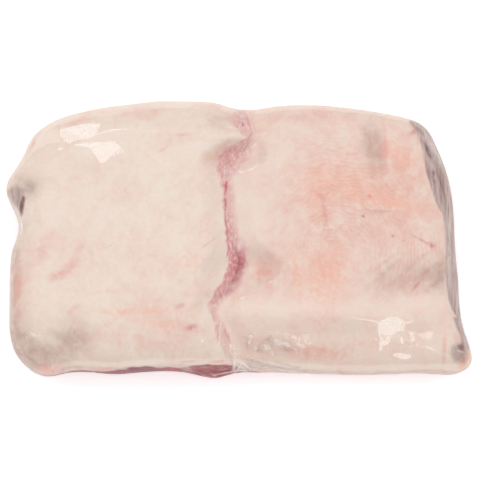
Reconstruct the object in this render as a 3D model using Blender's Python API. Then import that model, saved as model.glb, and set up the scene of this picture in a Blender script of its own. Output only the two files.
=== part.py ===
"""Two boneless pork butts, laid side by side and head to tail, fat side up, in one clear shrink bag.

The film is drawn so tight that the sealed bag is one closed solid with the form of the meat:
a rounded block whose corners and edges each roll in their own way, with a winding groove
where the butts meet, and the crests, dents and bulges of the fat cap and of the lean below it.

Units are metres. +X runs along the pack to the right, +Y to the back and +Z up.
The origin is the middle of the pack's box, on the surface that it lies on.
"""

from collections import namedtuple

import bpy
import numpy as np

# Driving sizes of the pack: its heights, and how far its four sides lie from the middle
HEIGHT_LEFT = 0.0865
HEIGHT_RIGHT = 0.0815
WIDEST_HEIGHT = 0.040
LEFT_END = -0.1945
RIGHT_END = 0.1865
BACK = 0.1175
FRONT = 0.1138

# How square the block is: a higher power gives a tighter corner or a tighter rolled edge
CORNER_BACK_LEFT = 4.5
CORNER_BACK_RIGHT = 14.0
CORNER_FRONT_LEFT = 10.0
CORNER_FRONT_RIGHT = 22.0
ROLL_MEAN = 3.1
ROLL_SWING = 0.8
ROLL_TURN = 3.0
ROLL_AT_ENDS = 2.0
ROLL_UNDER = 4.0
UNDERSIDE_PRESS = 1.12

# A swell is a smooth hill (or a dent, where its rise is below zero) with an oval foot
Swell = namedtuple("Swell", "x y along across turn rise")
# A reach is the same along one line only: its middle, its half-width and its height
Reach = namedtuple("Reach", "at spread rise")

TOP_SWELLS = {
    "back crest of the left butt, outer half": Swell(-0.140, 0.078, 0.043, 0.010, 18, 0.0040),
    "back crest of the left butt, inner half": Swell(-0.060, 0.088, 0.055, 0.010, -3, 0.0035),
    "tongue of the left butt over the groove": Swell(-0.003, 0.083, 0.012, 0.006, 0, 0.0025),
    "hollow under the tongue": Swell(-0.010, 0.067, 0.016, 0.009, 20, -0.0060),
    "dent beside the nick in the left end": Swell(-0.181, 0.037, 0.021, 0.013, 25, -0.0080),
    "crown of the left butt": Swell(-0.095, -0.030, 0.070, 0.050, 0, 0.0020),
    "slack fat in the left front corner": Swell(-0.142, -0.092, 0.022, 0.014, 0, -0.0025),
    "front crest of the right butt": Swell(0.084, -0.073, 0.095, 0.011, 0, 0.0050),
    "heel of the right butt": Swell(0.187, -0.100, 0.018, 0.018, 0, 0.0080),
    "dent beside the deep pocket": Swell(0.028, -0.039, 0.022, 0.018, 0, -0.0040),
    "trough across the right butt": Swell(0.117, 0.070, 0.030, 0.007, 95, -0.0050),
    "swelling beside the trough": Swell(0.138, 0.069, 0.028, 0.010, 95, 0.0015),
    "dent behind the heel": Swell(0.159, -0.044, 0.026, 0.014, 15, -0.0050),
    "rib along the groove": Swell(0.026, 0.064, 0.028, 0.005, 90, 0.0020),
}

# Where the groove between the butts runs: x as it winds from the front (-Y) to the back (+Y)
SEAM_MIDDLE = 0.0027
SEAM_WINDING = (
    Reach(0.081, 0.015, 0.017),
    Reach(0.035, 0.052, -0.015),
    Reach(-0.024, 0.010, 0.0036),
    Reach(-0.066, 0.016, -0.0137),
    Reach(-0.085, 0.037, -0.013),
)
GROOVE_DEPTH = 0.009
GROOVE_DEEPER = (
    Reach(0.067, 0.012, 0.004),
    Reach(0.085, 0.009, -0.005),
    Reach(-0.032, 0.018, 0.012),
)
GROOVE_HALF_WIDTH = 0.008
GROOVE_WIDER = (
    Reach(0.067, 0.014, 0.004),
    Reach(0.104, 0.012, 0.006),
    Reach(-0.034, 0.018, 0.006),
)
GROOVE_STEEP_LEFT = 1.6
GROOVE_GENTLE_RIGHT = 2.4
GROOVE_DEPTH_BACK = 0.004
GROOVE_DEPTH_FRONT = 0.002
GROOVE_DEPTH_UNDER = 0.004

# How far the four sides reach, beyond their mean, along the outline
LEFT_END_REACHES = (
    Reach(0.072, 0.016, -0.004),
    Reach(0.041, 0.015, 0.006),
    Reach(0.006, 0.017, -0.0065),
)
RIGHT_END_REACHES = (
    Reach(-0.107, 0.028, 0.015),
    Reach(-0.050, 0.030, 0.003),
    Reach(0.122, 0.056, -0.020),
)
BACK_REACHES = (
    Reach(-0.060, 0.050, 0.004),
    Reach(0.025, 0.022, -0.0025),
    Reach(0.175, 0.070, -0.014),
)
FRONT_REACHES = (
    Reach(-0.168, 0.020, 0.0075),
    Reach(-0.105, 0.025, 0.003),
    Reach(0.105, 0.070, 0.0035),
    Reach(0.187, 0.018, 0.0035),
)
LEAN_BULGE = Reach(-0.018, 0.024, 0.0065)
LEAN_BULGE_HEIGHT = Reach(0.026, 0.018, 1.0)

# The mesh: columns of faces along each butt, rows from front to back, and rings up the sides
COLUMNS_PER_BUTT = 27
ROWS = 36
RINGS = 9
COLUMN_CROWDING = 1.4

FAT_COLOUR = (0.78, 0.63, 0.54, 1.0)
FILM_ROUGHNESS = 0.12


def gathered(reaches, at):
    """The sum of the reaches at one coordinate, each a bell curve round its own middle."""
    total = np.zeros_like(at)
    for reach in reaches:
        total += reach.rise * np.exp(-(((at - reach.at) / reach.spread) ** 2))
    return total


def swelling(swell, x, y):
    """How far one swell lifts the top at each point: a bell over a turned oval."""
    turn = np.radians(swell.turn)
    along = (x - swell.x) * np.cos(turn) + (y - swell.y) * np.sin(turn)
    across = (y - swell.y) * np.cos(turn) - (x - swell.x) * np.sin(turn)
    return swell.rise * np.exp(-((along / swell.along) ** 2) - (across / swell.across) ** 2)


def seam_x(y):
    """The x of the groove's floor at each y."""
    return SEAM_MIDDLE + gathered(SEAM_WINDING, y)


def rounded_block(a, b, c):
    """Takes the surface of a cube (each of a, b and c from -1 to 1) to a rounded block of the same reach.

    Each corner of the plan has a power of its own. The rolled edge is softer at the left butt's back
    and at the right butt's front, because the butts lie head to tail.
    """
    back_power = np.where(a < 0, CORNER_BACK_LEFT, CORNER_BACK_RIGHT)
    front_power = np.where(a < 0, CORNER_FRONT_LEFT, CORNER_FRONT_RIGHT)
    corner = np.where(b > 0, back_power, front_power)
    ends = np.clip(a**4 - b**4, 0, 1) ** 2
    roll_above = ROLL_MEAN + ROLL_SWING * np.tanh(ROLL_TURN * a * b) + ROLL_AT_ENDS * ends
    roll = np.where(c > 0, roll_above, ROLL_UNDER)
    plan = (np.abs(a) ** corner + np.abs(b) ** corner) ** (1 / corner)
    whole = (plan**roll + np.abs(c) ** roll) ** (1 / roll)
    return a / whole, b / whole, c / whole


def top_height(x, y):
    """The height of the fat cap's top: each butt's own height, with every swell added."""
    share = 0.5 + 0.5 * np.tanh((x - seam_x(y)) / GROOVE_HALF_WIDTH)
    height = HEIGHT_LEFT + (HEIGHT_RIGHT - HEIGHT_LEFT) * share
    for swell in TOP_SWELLS.values():
        height = height + swelling(swell, x, y)
    return height


def groove_cut(x, y, up, along_y):
    """How far the film sinks into the groove, from its share of top, back, front and underside."""
    off = x - seam_x(y)
    reach = np.where(off < 0, GROOVE_STEEP_LEFT, GROOVE_GENTLE_RIGHT)
    wide = reach * (GROOVE_HALF_WIDTH + gathered(GROOVE_WIDER, y))
    near = np.clip(1 - np.abs(off) / wide, 0, 1)
    profile = near * near * (3 - 2 * near)
    top = (GROOVE_DEPTH + gathered(GROOVE_DEEPER, y)) * np.clip(up, 0, 1) ** 2
    under = GROOVE_DEPTH_UNDER * np.clip(-up, 0, 1) ** 2
    back = GROOVE_DEPTH_BACK * np.clip(along_y, 0, 1) ** 2
    front = GROOVE_DEPTH_FRONT * np.clip(-along_y, 0, 1) ** 2
    return profile * (top + under + back + front)


def pack_surface(a, b, c):
    """Points of the sealed pack for points (a, b, c) on the surface of a cube. a is 0 on the seam."""
    across, deep, tall = rounded_block(a, b, c)

    y = deep * np.where(b > 0, BACK, FRONT)
    left = seam_x(y) + across * (seam_x(y) - LEFT_END + gathered(LEFT_END_REACHES, y))
    right = seam_x(y) + across * (RIGHT_END + gathered(RIGHT_END_REACHES, y) - seam_x(y))
    x = np.where(a < 0, left, right)
    y = y + deep * np.where(b > 0, gathered(BACK_REACHES, x), gathered(FRONT_REACHES, x))

    above = WIDEST_HEIGHT + tall * (top_height(x, y) - WIDEST_HEIGHT)
    below = np.maximum(WIDEST_HEIGHT * (1 + UNDERSIDE_PRESS * tall), 0)
    z = np.where(c > 0, above, below)

    # The lean bulges out under the fat in the middle of the front
    bulge = gathered([LEAN_BULGE], x) * gathered([LEAN_BULGE_HEIGHT], z)
    y = y - bulge * np.clip(-deep, 0, 1) ** 4

    # The groove sinks along the block's own normal in the plane across the pack
    up = np.sign(tall) * np.abs(tall) ** 2
    along_y = np.sign(deep) * np.abs(deep) ** 4
    length = np.hypot(up, along_y)
    up, along_y = up / length, along_y / length
    cut = groove_cut(x, y, up, along_y)
    return np.stack([x, y - cut * along_y, z - cut * up], axis=-1)


def cube_faces():
    """The six grids of the cube, each as (a, b, c) arrays whose rows and columns turn outwards."""
    step = np.linspace(-1, 1, 2 * COLUMNS_PER_BUTT + 1)
    columns = np.sign(step) * np.abs(step) ** COLUMN_CROWDING
    rows = np.linspace(-1, 1, ROWS + 1)
    rings = np.linspace(-1, 1, RINGS + 1)
    a, b = np.meshgrid(columns, rows, indexing="ij")
    yield a, b, np.ones_like(a)
    yield a[:, ::-1], b[:, ::-1], -np.ones_like(a)
    a, c = np.meshgrid(columns, rings, indexing="ij")
    yield a, -np.ones_like(a), c
    yield a[::-1], np.ones_like(a), c
    b, c = np.meshgrid(rows, rings, indexing="ij")
    yield np.ones_like(b), b, c
    yield -np.ones_like(b), b[::-1], c


def grid_faces(shape, first):
    """Quads of a grid of points numbered row by row from first."""
    index = first + np.arange(shape[0] * shape[1]).reshape(shape)
    quads = np.stack([index[:-1, :-1], index[1:, :-1], index[1:, 1:], index[:-1, 1:]], axis=-1)
    return quads.reshape(-1, 4)


def pack_mesh():
    """One closed mesh from the six grids, with the points that they share made one."""
    points, quads, first = [], [], 0
    for a, b, c in cube_faces():
        points.append(np.stack([a, b, c], axis=-1).reshape(-1, 3))
        quads.append(grid_faces(a.shape, first))
        first += a.size
    cube = np.round(np.concatenate(points), 9)
    cube, shared = np.unique(cube, axis=0, return_inverse=True)
    faces = shared.reshape(-1)[np.concatenate(quads)]
    surface = pack_surface(cube[:, 0], cube[:, 1], cube[:, 2])
    middle = (surface.max(axis=0) + surface.min(axis=0)) / 2
    surface -= (middle[0], middle[1], 0)
    mesh = bpy.data.meshes.new("vacuum_pack")
    mesh.from_pydata(surface.tolist(), [], faces.tolist())
    mesh.update()
    return mesh


def pork_under_film():
    """Pale pink fat, glossy from the film over it."""
    material = bpy.data.materials.new("pork under film")
    material.use_nodes = True
    shader = material.node_tree.nodes["Principled BSDF"]
    shader.inputs["Base Color"].default_value = FAT_COLOUR
    shader.inputs["Roughness"].default_value = FILM_ROUGHNESS
    shader.inputs["Metallic"].default_value = 0.0
    return material


for old in list(bpy.data.objects):
    bpy.data.objects.remove(old)

vacuum_pack = bpy.data.objects.new("vacuum_pack", pack_mesh())
vacuum_pack.data.materials.append(pork_under_film())
vacuum_pack.data.shade_smooth()
bpy.context.scene.collection.objects.link(vacuum_pack)
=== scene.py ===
"""A retail pack of boneless pork butts: two butts and their juice under the film of a clear shrink bag.

Lengths are metres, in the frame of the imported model: +X along the pack, +Y to the back, +Z up.
Colours are given as the eye sees them on a screen, from 0 to 255, and turned into light by tone().
"""

from collections import namedtuple

import bpy
import numpy as np
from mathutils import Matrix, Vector


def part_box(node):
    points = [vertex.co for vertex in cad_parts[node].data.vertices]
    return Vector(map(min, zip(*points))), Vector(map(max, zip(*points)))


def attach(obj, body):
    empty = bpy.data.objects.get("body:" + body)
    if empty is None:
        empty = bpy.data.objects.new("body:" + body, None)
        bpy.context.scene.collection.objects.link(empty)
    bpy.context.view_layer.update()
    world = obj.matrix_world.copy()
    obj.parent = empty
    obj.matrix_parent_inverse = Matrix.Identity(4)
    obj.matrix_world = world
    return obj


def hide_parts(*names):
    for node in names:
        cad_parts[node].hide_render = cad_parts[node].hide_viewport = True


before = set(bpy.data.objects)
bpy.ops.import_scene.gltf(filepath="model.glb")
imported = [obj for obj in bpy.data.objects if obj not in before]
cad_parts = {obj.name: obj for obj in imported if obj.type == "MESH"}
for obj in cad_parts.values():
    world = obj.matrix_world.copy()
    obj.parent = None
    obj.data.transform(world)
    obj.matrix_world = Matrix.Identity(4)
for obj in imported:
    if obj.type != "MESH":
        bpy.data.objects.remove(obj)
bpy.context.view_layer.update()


# The butts
# Two boneless pork butts, each a loaf of shoulder muscle under a thick side of fat. They were laid
# side by side and head to tail, and the bag has pressed them into one block with a groove between.

HEIGHT_LEFT = 0.0865
HEIGHT_RIGHT = 0.0815
WIDEST_HEIGHT = 0.040
LEFT_END = -0.1945
RIGHT_END = 0.1865
BACK = 0.1175
FRONT = 0.1138

# How square the block is: a higher power gives a tighter corner or a tighter rolled edge
CORNER_BACK_LEFT = 4.5
CORNER_BACK_RIGHT = 14.0
CORNER_FRONT_LEFT = 10.0
CORNER_FRONT_RIGHT = 22.0
ROLL_MEAN = 3.1
ROLL_SWING = 0.8
ROLL_TURN = 3.0
ROLL_AT_ENDS = 2.0
ROLL_UNDER = 4.0
# The lower half would reach this much deeper, but the table presses the underside flat
UNDERSIDE_PRESS = 1.12

# A swell is a smooth hill (or a dent, where its rise is below zero) with an oval foot
Swell = namedtuple("Swell", "x y along across turn rise")
# A reach is the same along one line only: its middle, its half-width and its height
Reach = namedtuple("Reach", "at spread rise")

TOP_SWELLS = {
    "back crest of the left butt, outer half": Swell(-0.140, 0.078, 0.043, 0.010, 18, 0.0040),
    "back crest of the left butt, inner half": Swell(-0.060, 0.088, 0.055, 0.010, -3, 0.0035),
    "tongue of the left butt over the groove": Swell(-0.003, 0.083, 0.012, 0.006, 0, 0.0025),
    "hollow under the tongue": Swell(-0.010, 0.067, 0.016, 0.009, 20, -0.0060),
    "dent beside the nick in the left end": Swell(-0.181, 0.037, 0.021, 0.013, 25, -0.0080),
    "crown of the left butt": Swell(-0.095, -0.030, 0.070, 0.050, 0, 0.0020),
    "slack fat in the left front corner": Swell(-0.142, -0.092, 0.022, 0.014, 0, -0.0025),
    "front crest of the right butt": Swell(0.084, -0.073, 0.095, 0.011, 0, 0.0050),
    "heel of the right butt": Swell(0.187, -0.100, 0.018, 0.018, 0, 0.0080),
    "dent beside the deep pocket": Swell(0.028, -0.039, 0.022, 0.018, 0, -0.0040),
    "trough across the right butt": Swell(0.117, 0.070, 0.030, 0.007, 95, -0.0050),
    "swelling beside the trough": Swell(0.138, 0.069, 0.028, 0.010, 95, 0.0015),
    "dent behind the heel": Swell(0.159, -0.044, 0.026, 0.014, 15, -0.0050),
    "rib along the groove": Swell(0.026, 0.064, 0.028, 0.005, 90, 0.0020),
}

# Where the groove between the butts runs: x as it winds from the front (-Y) to the back (+Y)
SEAM_MIDDLE = 0.0027
SEAM_WINDING = (
    Reach(0.081, 0.015, 0.017),
    Reach(0.035, 0.052, -0.015),
    Reach(-0.024, 0.010, 0.0036),
    Reach(-0.066, 0.016, -0.0137),
    Reach(-0.085, 0.037, -0.013),
)
GROOVE_DEPTH = 0.0042
GROOVE_DEEPER = (
    Reach(0.067, 0.012, 0.003),
    Reach(0.085, 0.009, -0.003),
    Reach(-0.032, 0.018, 0.007),
)
GROOVE_HALF_WIDTH = 0.008
GROOVE_WIDER = (
    Reach(0.067, 0.014, 0.004),
    Reach(0.104, 0.012, 0.006),
    Reach(-0.034, 0.018, 0.006),
)
# How many half widths the groove's left and right sides take up, and how flat its floor is
GROOVE_STEEP_LEFT = 2.6
GROOVE_GENTLE_RIGHT = 3.0
GROOVE_FLOOR = 1.20
GROOVE_DEPTH_BACK = 0.004
GROOVE_DEPTH_FRONT = 0.002
GROOVE_DEPTH_UNDER = 0.004

# How far the four sides reach, beyond their mean, along the outline
LEFT_END_REACHES = (
    Reach(0.072, 0.016, -0.004),
    Reach(0.041, 0.015, 0.006),
    Reach(0.006, 0.017, -0.0065),
)
RIGHT_END_REACHES = (
    Reach(-0.107, 0.028, 0.015),
    Reach(-0.050, 0.030, 0.003),
    Reach(0.122, 0.056, -0.020),
)
BACK_REACHES = (
    Reach(-0.060, 0.050, 0.004),
    Reach(0.025, 0.022, -0.0025),
    Reach(0.175, 0.070, -0.014),
)
FRONT_REACHES = (
    Reach(-0.168, 0.020, 0.0075),
    Reach(-0.105, 0.025, 0.003),
    Reach(0.105, 0.070, 0.0035),
    Reach(0.187, 0.018, 0.0035),
)
LEAN_BULGE = Reach(-0.018, 0.024, 0.0065)
LEAN_BULGE_HEIGHT = Reach(0.026, 0.018, 1.0)

# Stains and folds are placed on the level of the top, where the camera sees them
PLAN_HEIGHT = 0.0825
PLAN_SLANT = 0.176

# Under the film the butts part a little further, in a crease down the middle of the groove
CREASE_DEPTH = 0.0005
CREASE_HALF_WIDTH = 0.0026
FILM_CLEARANCE = 0.0005
# The meat's own lumps: how far apart they are and how high
LUMPS = ((0.024, 0.0006), (0.009, 0.0003))
LUMP_SEED = 3
LATTICE = 256
# Within this share of the block from the wall between them, the butts pass into their free form
WALL_REACH = 0.03
# The wall's edges are sharper than this angle, in degrees, and the rest of a butt is smooth
SHARP_EDGE = 28.0

BUTT_COLUMNS = 160
BUTT_ROWS = 200
BUTT_RINGS = 56
UNDER_RINGS = 14
FINE_STEPS = 4000
# The rings round the sides lie closest where the sides roll over into the top
RING_CROWDS = (Reach(1.0, 0.6, 8.0), Reach(0.1, 0.35, 1.5))


def gathered(reaches, at):
    """The sum of the reaches at one coordinate, each a bell curve round its own middle."""
    total = np.zeros_like(at)
    for reach in reaches:
        total += reach.rise * np.exp(-(((at - reach.at) / reach.spread) ** 2))
    return total


def swelling(swell, x, y):
    """How far one swell lifts the top at each point: a bell over a turned oval."""
    turn = np.radians(swell.turn)
    along = (x - swell.x) * np.cos(turn) + (y - swell.y) * np.sin(turn)
    across = (y - swell.y) * np.cos(turn) - (x - swell.x) * np.sin(turn)
    return swell.rise * np.exp(-((along / swell.along) ** 2) - (across / swell.across) ** 2)


def smooth(values, low, high):
    """Eases from 0 at low to 1 at high."""
    share = np.clip((values - low) / (high - low), 0, 1)
    return share * share * (3 - 2 * share)


def seam_x(y):
    """The x of the groove's floor at each y."""
    return SEAM_MIDDLE + gathered(SEAM_WINDING, y)


def seen_y(y, z):
    """The y on the level of the top at which the camera sees each point."""
    return y + (z - PLAN_HEIGHT) * PLAN_SLANT


def rounded_block(a, b, c):
    """Takes the surface of a cube (each of a, b and c from -1 to 1) to a rounded block of the same reach.

    The divisor is a superellipse of the plan, whose power differs from corner to corner, inside a
    superellipse of the height, whose power is softer at the left butt's back and the right's front.
    It stays above nothing, so that the middle of the block stays where it is.
    """
    back_power = np.where(a < 0, CORNER_BACK_LEFT, CORNER_BACK_RIGHT)
    front_power = np.where(a < 0, CORNER_FRONT_LEFT, CORNER_FRONT_RIGHT)
    corner = np.where(b > 0, back_power, front_power)
    ends = np.clip(a**4 - b**4, 0, 1) ** 2
    roll_above = ROLL_MEAN + ROLL_SWING * np.tanh(ROLL_TURN * a * b) + ROLL_AT_ENDS * ends
    roll = np.where(c > 0, roll_above, ROLL_UNDER)
    plan = (np.abs(a) ** corner + np.abs(b) ** corner) ** (1 / corner)
    whole = np.maximum((plan**roll + np.abs(c) ** roll) ** (1 / roll), 1e-9)
    return a / whole, b / whole, c / whole


def top_height(x, y):
    """The height of the fat cap's top: each butt's own height, with every swell added."""
    share = 0.5 + 0.5 * np.tanh((x - seam_x(y)) / GROOVE_HALF_WIDTH)
    height = HEIGHT_LEFT + (HEIGHT_RIGHT - HEIGHT_LEFT) * share
    for swell in TOP_SWELLS.values():
        height = height + swelling(swell, x, y)
    return height


def groove_cut(x, y, up, along_y, crease):
    """How far the surface sinks into the groove, from its share of top, back, front and underside.

    The profile eases from the lip to a flat floor as 3t^2 - 2t^3; crease adds a bell at the seam.
    """
    off = x - seam_x(y)
    reach = np.where(off < 0, GROOVE_STEEP_LEFT, GROOVE_GENTLE_RIGHT)
    wide = reach * (GROOVE_HALF_WIDTH + gathered(GROOVE_WIDER, y))
    near = np.clip(GROOVE_FLOOR * (1 - np.abs(off) / wide), 0, 1)
    profile = near * near * (3 - 2 * near)
    top = (GROOVE_DEPTH + gathered(GROOVE_DEEPER, y)) * np.clip(up, 0, 1) ** 2
    under = GROOVE_DEPTH_UNDER * np.clip(-up, 0, 1) ** 2
    back = GROOVE_DEPTH_BACK * np.clip(along_y, 0, 1) ** 2
    front = GROOVE_DEPTH_FRONT * np.clip(-along_y, 0, 1) ** 2
    return profile * (top + under + back + front) + crease * np.exp(-((off / CREASE_HALF_WIDTH) ** 2))


def pack_surface(cube, crease=0.0):
    """Points of the pack for points on a cube's surface, or on the wall a = 0 inside it.

    The rounded block, stretched to the ends, the sides and the top, less the groove's cut along the
    surface. On the wall the cut fades with the sixth power of the distance from the middle.
    """
    a, b, c = cube.T
    inside = np.abs(cube).max(axis=1)
    across, deep, tall = (inside * part for part in rounded_block(a, b, c))

    y = deep * np.where(b > 0, BACK, FRONT)
    left = seam_x(y) + across * (seam_x(y) - LEFT_END + gathered(LEFT_END_REACHES, y))
    right = seam_x(y) + across * (RIGHT_END + gathered(RIGHT_END_REACHES, y) - seam_x(y))
    x = np.where(a < 0, left, right)
    y = y + deep * np.where(b > 0, gathered(BACK_REACHES, x), gathered(FRONT_REACHES, x))

    above = WIDEST_HEIGHT + tall * (top_height(x, y) - WIDEST_HEIGHT)
    below = np.maximum(WIDEST_HEIGHT * (1 + UNDERSIDE_PRESS * tall), 0)
    z = np.where(c > 0, above, below)

    # The lean bulges out under the fat in the middle of the front
    bulge = gathered([LEAN_BULGE], x) * gathered([LEAN_BULGE_HEIGHT], z)
    y = y - bulge * np.clip(-deep, 0, 1) ** 4

    # The groove sinks along the block's own normal in the plane across the pack
    up = np.sign(tall) * np.abs(tall) ** 2
    along_y = np.sign(deep) * np.abs(deep) ** 4
    length = np.maximum(np.hypot(up, along_y), 1e-9)
    up, along_y = up / length, along_y / length
    cut = groove_cut(x, y, up, along_y, crease) * inside**6
    return np.stack([x, y - cut * along_y, z - cut * up], axis=-1)


def steps(low, high, count, crowds=()):
    """count + 1 values from low to high, closer together where a crowd's bell raises their density.

    The density is summed along fine steps, and the values cut that sum into equal parts.
    """
    fine = np.linspace(low, high, FINE_STEPS + 1)
    density = 1 + gathered(crowds, fine)
    share = np.concatenate([[0], np.cumsum((density[1:] + density[:-1]) / 2)])
    return np.interp(np.linspace(0, 1, count + 1), share / share[-1], fine)


def block(a_steps, b_steps, c_steps, under_rings):
    """The surface of a box as (points, faces): a grid on the top and each side, and rings that close
    in on the middle of the underside. Points that grids share are made one."""
    a, b = np.meshgrid(a_steps, b_steps, indexing="ij")
    grids = [(a, b, np.ones_like(a))]
    a, c = np.meshgrid(a_steps, c_steps, indexing="ij")
    grids += [(a, np.full_like(a, b_steps[0]), c), (a[::-1], np.full_like(a, b_steps[-1]), c)]
    b, c = np.meshgrid(b_steps, c_steps, indexing="ij")
    grids += [(np.full_like(b, a_steps[-1]), b, c), (np.full_like(b, a_steps[0]), b[::-1], c)]

    rim_a = [a_steps, np.full_like(b_steps[1:], a_steps[-1]), a_steps[-2::-1]]
    rim_a = np.concatenate([*rim_a, np.full_like(b_steps[1:], a_steps[0])])
    rim_b = [np.full_like(a_steps, b_steps[0]), b_steps[1:], np.full_like(a_steps[1:], b_steps[-1])]
    rim_b = np.concatenate([*rim_b, b_steps[-2::-1]])
    middle = ((a_steps[0] + a_steps[-1]) / 2, (b_steps[0] + b_steps[-1]) / 2)
    share = np.linspace(1, 0, under_rings + 1)[:-1, None]
    under_a = middle[0] + share * (rim_a - middle[0])
    grids.append((under_a, middle[1] + share * (rim_b - middle[1]), -np.ones_like(under_a)))

    points = [np.stack(grid, axis=-1).reshape(-1, 3) for grid in grids]
    points = np.concatenate([*points, [[*middle, -1.0]]])
    faces, first = [], 0
    for grid in grids:
        index = first + np.arange(grid[0].size).reshape(grid[0].shape)
        squares = [index[:-1, :-1], index[1:, :-1], index[1:, 1:], index[:-1, 1:]]
        faces.append(np.stack(squares, axis=-1).reshape(-1, 4))
        first += grid[0].size
    last_ring = index[-1]
    fan = np.stack([last_ring[:-1], np.full_like(last_ring[1:], first), last_ring[1:]], axis=-1)
    points, shared = np.unique(np.round(points, 9), axis=0, return_inverse=True)
    shared = shared.reshape(-1)
    return points, shared[np.concatenate(faces)].tolist() + shared[fan].tolist()


def lattice_noise(x, y, cell, seed):
    """Smooth noise from 0 to 1: random heights on a square lattice, eased from corner to corner."""
    heights = np.random.default_rng(seed).random((LATTICE, LATTICE))
    u, v = x / cell + LATTICE / 2, y / cell + LATTICE / 2
    i, j = np.floor(u).astype(int), np.floor(v).astype(int)
    ease_u, ease_v = ((part * part * (3 - 2 * part)) for part in (u - i, v - j))
    i, j = i % (LATTICE - 1), j % (LATTICE - 1)
    near = heights[i, j] + (heights[i + 1, j] - heights[i, j]) * ease_u
    far = heights[i, j + 1] + (heights[i + 1, j + 1] - heights[i, j + 1]) * ease_u
    return near + (far - near) * ease_v


def skin(name, points, faces):
    """A smooth mesh object at the origin."""
    mesh = bpy.data.meshes.new(name)
    mesh.from_pydata(points.tolist(), [], faces)
    mesh.shade_smooth()
    piece = bpy.data.objects.new(name, mesh)
    bpy.context.scene.collection.objects.link(piece)
    return piece


def normals_of(piece):
    """The mesh's own normals, one for each point."""
    normals = np.empty(len(piece.data.vertices) * 3, np.float32)
    piece.data.vertex_normals.foreach_get("vector", normals)
    return normals.reshape(-1, 3)


def set_points(piece, points):
    """Moves the points of a piece's mesh."""
    piece.data.vertices.foreach_set("co", points.astype(np.float32).ravel())
    piece.data.update()


def paint(piece, name, values):
    """Keeps one value for each point of the mesh, for the piece's material to read."""
    attribute = piece.data.attributes.new(name, "FLOAT", "POINT")
    attribute.data.foreach_set("value", np.clip(values, 0, 1).astype(np.float32))


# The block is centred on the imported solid's own box
box_low, box_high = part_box("vacuum_pack")
coarse_steps = [steps(-1, 1, count) for count in (80, 60, 12)]
coarse = pack_surface(block(*coarse_steps, under_rings=4)[0])
pack_middle = (coarse.max(axis=0) + coarse.min(axis=0)) / 2 - np.array((box_low + box_high) / 2)
pack_middle[2] = 0

# Stains, and the painted shade and painted highlights among them, lie where the photograph shows them: a
# place, two half-widths, a turn and a strength.
# Each place is on the level of the top, seen from the camera, so a stain runs on down a rolled edge.
# A patch is a stain with corners, as soft at its outline as it says.
Mark = namedtuple("Mark", "x y along across turn strength")
Patch = namedtuple("Patch", "corners soft strength")
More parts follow.
